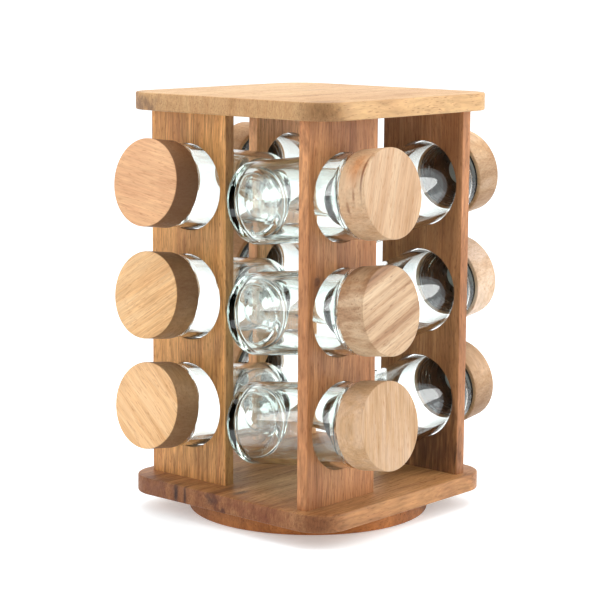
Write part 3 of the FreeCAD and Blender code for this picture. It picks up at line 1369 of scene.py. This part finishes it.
@dataclass
class Shaker:
    """The pierced insert that snaps into a jar's neck."""

    plug_radius: float = 15.5
    wall: float = 1.0
    plug_length: float = 6.0
    flange_radius: float = 17.6
    flange: float = 1.0
    boss_radius: float = 7.5
    boss: float = 0.8
    hole_radius: float = 1.25
    hole_circle: float = 11.0
    hole_count: int = 12

    def insert(self, lip: float) -> bpy.types.Object:
        """Shapes the insert.

        Args:
            lip: Height of the glass that it sits on, in millimetres.

        Returns:
            The insert; mark_boss gives its boss's faces the second material afterwards.
        """
        inner = self.plug_radius - self.wall
        foot = lip - self.plug_length
        piece = turn("shaker_pattern", (
            Corner(0.0, lip - self.boss), Corner(self.boss_radius, lip - self.boss),
            Corner(self.boss_radius + self.boss, lip), Corner(inner, lip), Corner(inner, foot),
            Corner(self.plug_radius, foot, 0.3, 3), Corner(self.plug_radius, lip),
            Corner(self.flange_radius, lip), Corner(self.flange_radius, lip + self.flange, 0.4, 4),
            Corner(0.0, lip + self.flange)), steps=96)
        for number in range(self.hole_count):
            angle = 2 * math.pi * number / self.hole_count
            place = Vector((mm(self.hole_circle) * math.cos(angle),
                            mm(self.hole_circle) * math.sin(angle), mm(lip)))
            drill(piece, self.hole_radius, mm(self.plug_length), place, facets=20)
        return smooth(piece)

    def mark_boss(self, piece: bpy.types.Object, lip: float) -> None:
        """Gives the boss's underside the second material.

        Args:
            piece: The insert.
            lip: Height of the glass that it sits on, in millimetres.
        """
        for face in piece.data.polygons:
            off = math.hypot(face.center.x, face.center.y)
            low = face.center.z < mm(lip - 0.1)
            if low and off < mm(self.boss_radius + 0.5) and face.normal.z < -0.5:
                face.material_index = 1


@dataclass
class Cap:
    """A turned wooden cap and the threaded plastic cup inside it."""

    radius: float = 24.1
    start: float = 82.5
    end: float = 100.0
    edge_round: float = 0.6
    liner_radius: float = 21.8
    liner_bore: float = 19.6
    liner_set_back: float = 0.5
    liner_inside: float = 95.5
    liner_top: float = 1.3
    glue_gap: float = 0.05

    def wood(self) -> bpy.types.Object:
        """Turns the wooden cap, bored for its liner.

        Returns:
            The cap.
        """
        floor = self.liner_inside + self.liner_top + self.glue_gap
        bore = self.liner_radius + self.glue_gap
        return smooth(turn("cap_pattern", (
            Corner(0.0, floor), Corner(bore, floor), Corner(bore, self.start, 0.2, 2),
            Corner(self.radius, self.start, self.edge_round, 4),
            Corner(self.radius, self.end, self.edge_round, 4), Corner(0.0, self.end))),
            math.radians(25.0))

    def liner(self, jar: Jar) -> bpy.types.Object:
        """Shapes the liner, with a shallow thread that clears the jar's.

        Args:
            jar: The jar that it screws on.

        Returns:
            The liner.
        """
        rim, top = self.start + self.liner_set_back, self.liner_inside + self.liner_top
        piece = turn("liner_pattern", (
            Corner(0.0, self.liner_inside), Corner(self.liner_bore, self.liner_inside),
            Corner(self.liner_bore, rim, 0.3, 3), Corner(self.liner_radius, rim, 0.3, 3),
            Corner(self.liner_radius, top), Corner(0.0, top)), steps=96)
        ridge = jar.thread("ridge", self.liner_bore + 0.3, self.liner_bore - 0.25,
                           jar.thread_start + jar.thread_pitch / 2)
        cut(piece, ridge, keep=True)
        return smooth(piece)


@dataclass
class Jars:
    """The twelve jars, each in its hole with its shaker, cap and liner."""

    jar: Jar = field(default_factory=Jar)
    shaker: Shaker = field(default_factory=Shaker)
    cap: Cap = field(default_factory=Cap)
    in_hole: float = 62.5
    hole_pitch: float = 62.0

    def seat(self, side: Side, row: Row) -> Matrix:
        """Where a jar's own frame lies: +X to the right and +Y up, as seen from outside.

        Args:
            side: The panel that holds it.
            row: Its row.

        Returns:
            The move from the jar's frame to the rack's.
        """
        slide = f"{side.word}_{row.word}_jar_slide"
        outward = Vector(next(j["axis"] for j in frame["joints"] if j["name"] == slide))
        low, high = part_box(f"{side.word}_panel")
        hole = (low + high) / 2 + UP * mm(self.hole_pitch * row.value)
        right = UP.cross(outward).normalized()
        place = Matrix((right, outward.cross(right), outward)).transposed().to_4x4()
        place.translation = hole - outward * mm(self.in_hole)
        return place

    def cap_wood(self, side: Side, row: Row, seat: Matrix) -> OiledAcacia:
        """A cap's plank, with the grain at its own slant across the face.

        Args:
            side: The panel that holds its jar.
            row: The jar's row.
            seat: Where the jar's own frame lies.

        Returns:
            The cap's finish.
        """
        slant, looks = CAP_LOOKS[side, row]
        angle = math.radians(slant)
        along = (seat.to_3x3() @ Vector((math.cos(angle), math.sin(angle), 0.0))).normalized()
        centre = seat @ Vector((0.0, 0.0, mm((self.cap.start + self.cap.end) / 2)))
        face = (seat.to_3x3() @ UP).normalized()
        return OiledAcacia(f"oiled_acacia_{side.word}_{row.word}_cap",
                           Grain(centre, along, face), **{**CAP_TONES, **looks})

    def build(self) -> None:
        """Shapes the parts once, and hangs a copy of each in every hole."""
        glass = FlintGlass().material()
        black = MouldedPolymer("black_polypropylene", "#141516", "#232426", Sheen.SATIN).material()
        grey = MouldedPolymer("grey_polyethylene_seal", "#a3a9aa", "#b9bdbd", Sheen.MATT).material()
        patterns = {
            "glass_jar": self.jar.glass(), "shaker_insert": self.shaker.insert(self.jar.lip),
            "wooden_cap": self.cap.wood(), "threaded_liner": self.cap.liner(self.jar)}
        dress(patterns["glass_jar"], glass)
        dress(patterns["threaded_liner"], black)
        dress(patterns["shaker_insert"], black, grey)
        self.shaker.mark_boss(patterns["shaker_insert"], self.jar.lip)
        homes = {
            "glass_jar": ("jar", "jar_glass", "jar"),
            "shaker_insert": ("jar", "black_plastic", "shaker"),
            "wooden_cap": ("cap", "cap_wood", "cap"),
            "threaded_liner": ("cap", "black_plastic", "cap_liner")}
        for side in Side:
            for row in Row:
                seat = self.seat(side, row)
                wood = self.cap_wood(side, row, seat).material()
                for part, (body, slot, node) in homes.items():
                    where = f"{side.word}_{row.word}"
                    piece = copy_to(patterns[part], f"{where}_{part}", seat)
                    if part == "wooden_cap":
                        dress(piece, wood)
                    fit(piece, f"{where}_{body}", slot, f"{where}_{node}")
        for pattern in patterns.values():
            put_away(pattern)


# painted shade darkens each cap's sides and back, most on the front caps
CAP_TONES = dict(pale="#d5ac7f", honey="#c89c6c", amber="#b98a5a", umber="#986b44",
                 streak_width=2.6, streak_length=46.0, bend=2.5, warmth=-0.03, edge_stain=0.35,
                 line_depth=0.84)
# each cap's grain slant in degrees from level, as seen from outside, and its own looks
CAP_LOOKS: dict[tuple[Side, Row], tuple[float, dict]] = {
    (Side.FRONT, Row.TOP): (-9.0, dict(
        seed=1.3, pale="#c79a70", honey="#bf9068", amber="#b3835c", umber="#9c6f4b",
        edge_stain=0.78, streak_width=2.0, streak_length=16.0, line_depth=0.88)),
    (Side.FRONT, Row.MIDDLE): (33.0, dict(
        seed=5.2, pale="#d4ad7f", honey="#c69b6a", amber="#b08252", edge_stain=0.68,
        line_depth=0.76)),
    (Side.FRONT, Row.BOTTOM): (-38.0, dict(seed=7.7, edge_stain=0.62)),
    (Side.RIGHT, Row.TOP): (68.0, dict(
        seed=12.9, pale="#bea181", honey="#b3906e", amber="#a27c57", edge_stain=0.0,
        end_grain=0.1, streak_width=3.4, streak_length=90.0, blemishes=(
            Blemish((4.0, 23.0, 6.6), (21.0, 10.0, 1.3), "#5a2f16", 0.95, 0.0, 0.15),
            Blemish((9.0, 23.0, 1.0), (18.0, 10.0, 9.0), "#a5622a", 0.65, 0.0, 0.3),
            Blemish((-9.0, 22.5, 1.5), (7.0, 5.0, 1.6), "#6b3d22", 0.8, 0.0, 0.5),
            Blemish((-14.0, 19.0, -3.0), (6.0, 5.0, 1.5), "#6b3d22", 0.7, 0.0, 0.5),
        ))),
    (Side.RIGHT, Row.MIDDLE): (20.0, dict(
        seed=15.5, pale="#c6ac8d", honey="#b49574", amber="#926d4d", umber="#724d36",
        warmth=0.02, streak_width=3.4, streak_length=110.0, edge_stain=0.0, end_grain=0.15)),
    (Side.RIGHT, Row.BOTTOM): (84.0, dict(
        seed=18.1, pale="#b8997c", honey="#af8c67", amber="#9f7a54", edge_stain=0.0,
        end_grain=0.1, streak_width=2.0, streak_length=24.0)),
    (Side.BACK, Row.TOP): (25.0, dict(
        seed=22.6, pale="#d8b999", honey="#c8a57e", amber="#b18961", warmth=0.02,
        streak_width=3.5, streak_length=90.0, edge_stain=0.1)),
    (Side.BACK, Row.MIDDLE): (-62.0, dict(
        seed=25.4, pale="#ceb59f", honey="#c1a385", amber="#ac8766", edge_stain=0.0,
        end_grain=0.1)),
    (Side.BACK, Row.BOTTOM): (48.0, dict(
        seed=28.3, pale="#bd9c7c", honey="#af8c68", amber="#9c7550", edge_stain=0.1)),
    (Side.LEFT, Row.TOP): (8.0, dict(seed=31.8)),
    (Side.LEFT, Row.MIDDLE): (71.0, dict(seed=34.0, warmth=0.02)),
    (Side.LEFT, Row.BOTTOM): (-27.0, dict(seed=37.9)),
}


# ---- studio --------------------------------------------------------------------------
@dataclass
class Studio:
    """A white table, soft boxes and the camera."""

    azimuth: float = 41.12
    elevation: float = 9.19
    roll: float = 0.38
    distance: float = 1.145
    aim_height: float = 0.1197
    aim_right: float = -0.0055
    lens: float = 120.4
    floor_size: float = 14.0
    wall_glow: float = 1.15
    opening_glow: float = 0.40
    table_glow: float = 0.30

    def camera(self) -> None:
        """Sets up the camera at a portrait lens's distance."""
        turn_by, tilt, roll = (math.radians(a) for a in (self.azimuth, self.elevation, self.roll))
        back = Vector((math.sin(turn_by) * math.cos(tilt), -math.cos(turn_by) * math.cos(tilt),
                       math.sin(tilt)))
        right = Vector((math.cos(turn_by), math.sin(turn_by), 0.0))
        upward = back.cross(right)
        aim = UP * self.aim_height + right * self.aim_right
        rolled_right = right * math.cos(roll) + upward * math.sin(roll)
        rolled_up = upward * math.cos(roll) - right * math.sin(roll)
        lens = bpy.data.cameras.new("camera")
        lens.lens = self.lens
        lens.sensor_width = 36.0
        camera = bpy.data.objects.new("camera", lens)
        place = Matrix((rolled_right, rolled_up, back)).transposed().to_4x4()
        place.translation = aim + back * self.distance
        camera.matrix_world = place
        bpy.context.scene.collection.objects.link(camera)
        bpy.context.scene.camera = camera

    def soft_box(self, name: str, place: Vector, size: tuple[float, float], watts: float) -> None:
        """Hangs a soft box that points at the rack.

        Args:
            name: The lamp's name.
            place: Its centre.
            size: Its width and height, in metres.
            watts: Its power.
        """
        lamp = bpy.data.lights.new(name, "AREA")
        lamp.shape = "RECTANGLE"
        lamp.size, lamp.size_y = size
        lamp.energy = watts
        box = bpy.data.objects.new(name, lamp)
        target = (CAD_BOX[0] + CAD_BOX[1]) / 2
        box.matrix_world = (Matrix.Translation(place)
                            @ (place - target).to_track_quat("Z", "Y").to_matrix().to_4x4())
        bpy.context.scene.collection.objects.link(box)

    def table(self) -> None:
        """Lays the table, of matt white acrylic lit from below, with a faint mottle."""
        deselect_all()
        bpy.ops.mesh.primitive_plane_add(size=self.floor_size)
        table = bpy.context.active_object
        table.name = "pale_table"
        material = new_material("backlit_white_acrylic")
        tree = material.node_tree
        space = add(tree, "TexCoord")
        colour = add(tree, "ValToRGB", {"Fac": mottle(tree, space, 40.0, 3.0)},
                     stops=((0.3, "#e6ebee"), (0.7, "#ebf0f3")))
        coat(tree, {
            "Base Color": colour.outputs[0], "Roughness": 0.7,
            "Emission Color": linear("#ffffff"), "Emission Strength": self.table_glow})
        dress(table, material)

    def surround(self) -> None:
        """Sets the white walls that fill the shadows, open and darker behind the camera."""
        world = bpy.data.worlds.new("white_walls")
        world.use_nodes = True
        tree = world.node_tree
        tree.nodes.clear()
        turn_by = math.radians(self.azimuth)
        behind = Vector((math.sin(turn_by), -math.cos(turn_by), 0.0))
        space = add(tree, "TexCoord")
        facing = add(tree, "VectorMath", {0: space.outputs["Generated"], 1: behind},
                     operation="DOT_PRODUCT").outputs["Value"]
        glow = remap(tree, facing, (0.55, 0.93), (self.wall_glow, self.opening_glow), eased=True)
        walls = add(tree, "Background", {"Color": linear("#ffffff"), "Strength": glow})
        add(tree, "OutputWorld", {"Surface": walls.outputs[0]})
        bpy.context.scene.world = world

    def build(self) -> None:
        """Sets up the whole studio."""
        bpy.context.scene.view_settings.view_transform = "Standard"
        self.camera()
        self.table()
        self.surround()
        self.soft_box("overhead_box", Vector((0.15, 0.05, 1.15)), (1.1, 1.1), 8.0)
        self.soft_box("left_box", Vector((-0.77, -1.10, 0.65)), (0.7, 0.9), 7.0)
        self.soft_box("right_box", Vector((1.07, 0.75, 0.60)), (0.7, 0.9), 9.0)


def main() -> None:
    """Builds the carousel's pieces in the order of their assembly, then the studio."""
    logging.basicConfig(level=logging.INFO, format="%(message)s")
    Studio().build()
    Turntable().build()
    Boards().build()
    Panels().build()
    Jars().build()


if __name__ == "__main__":
    main()
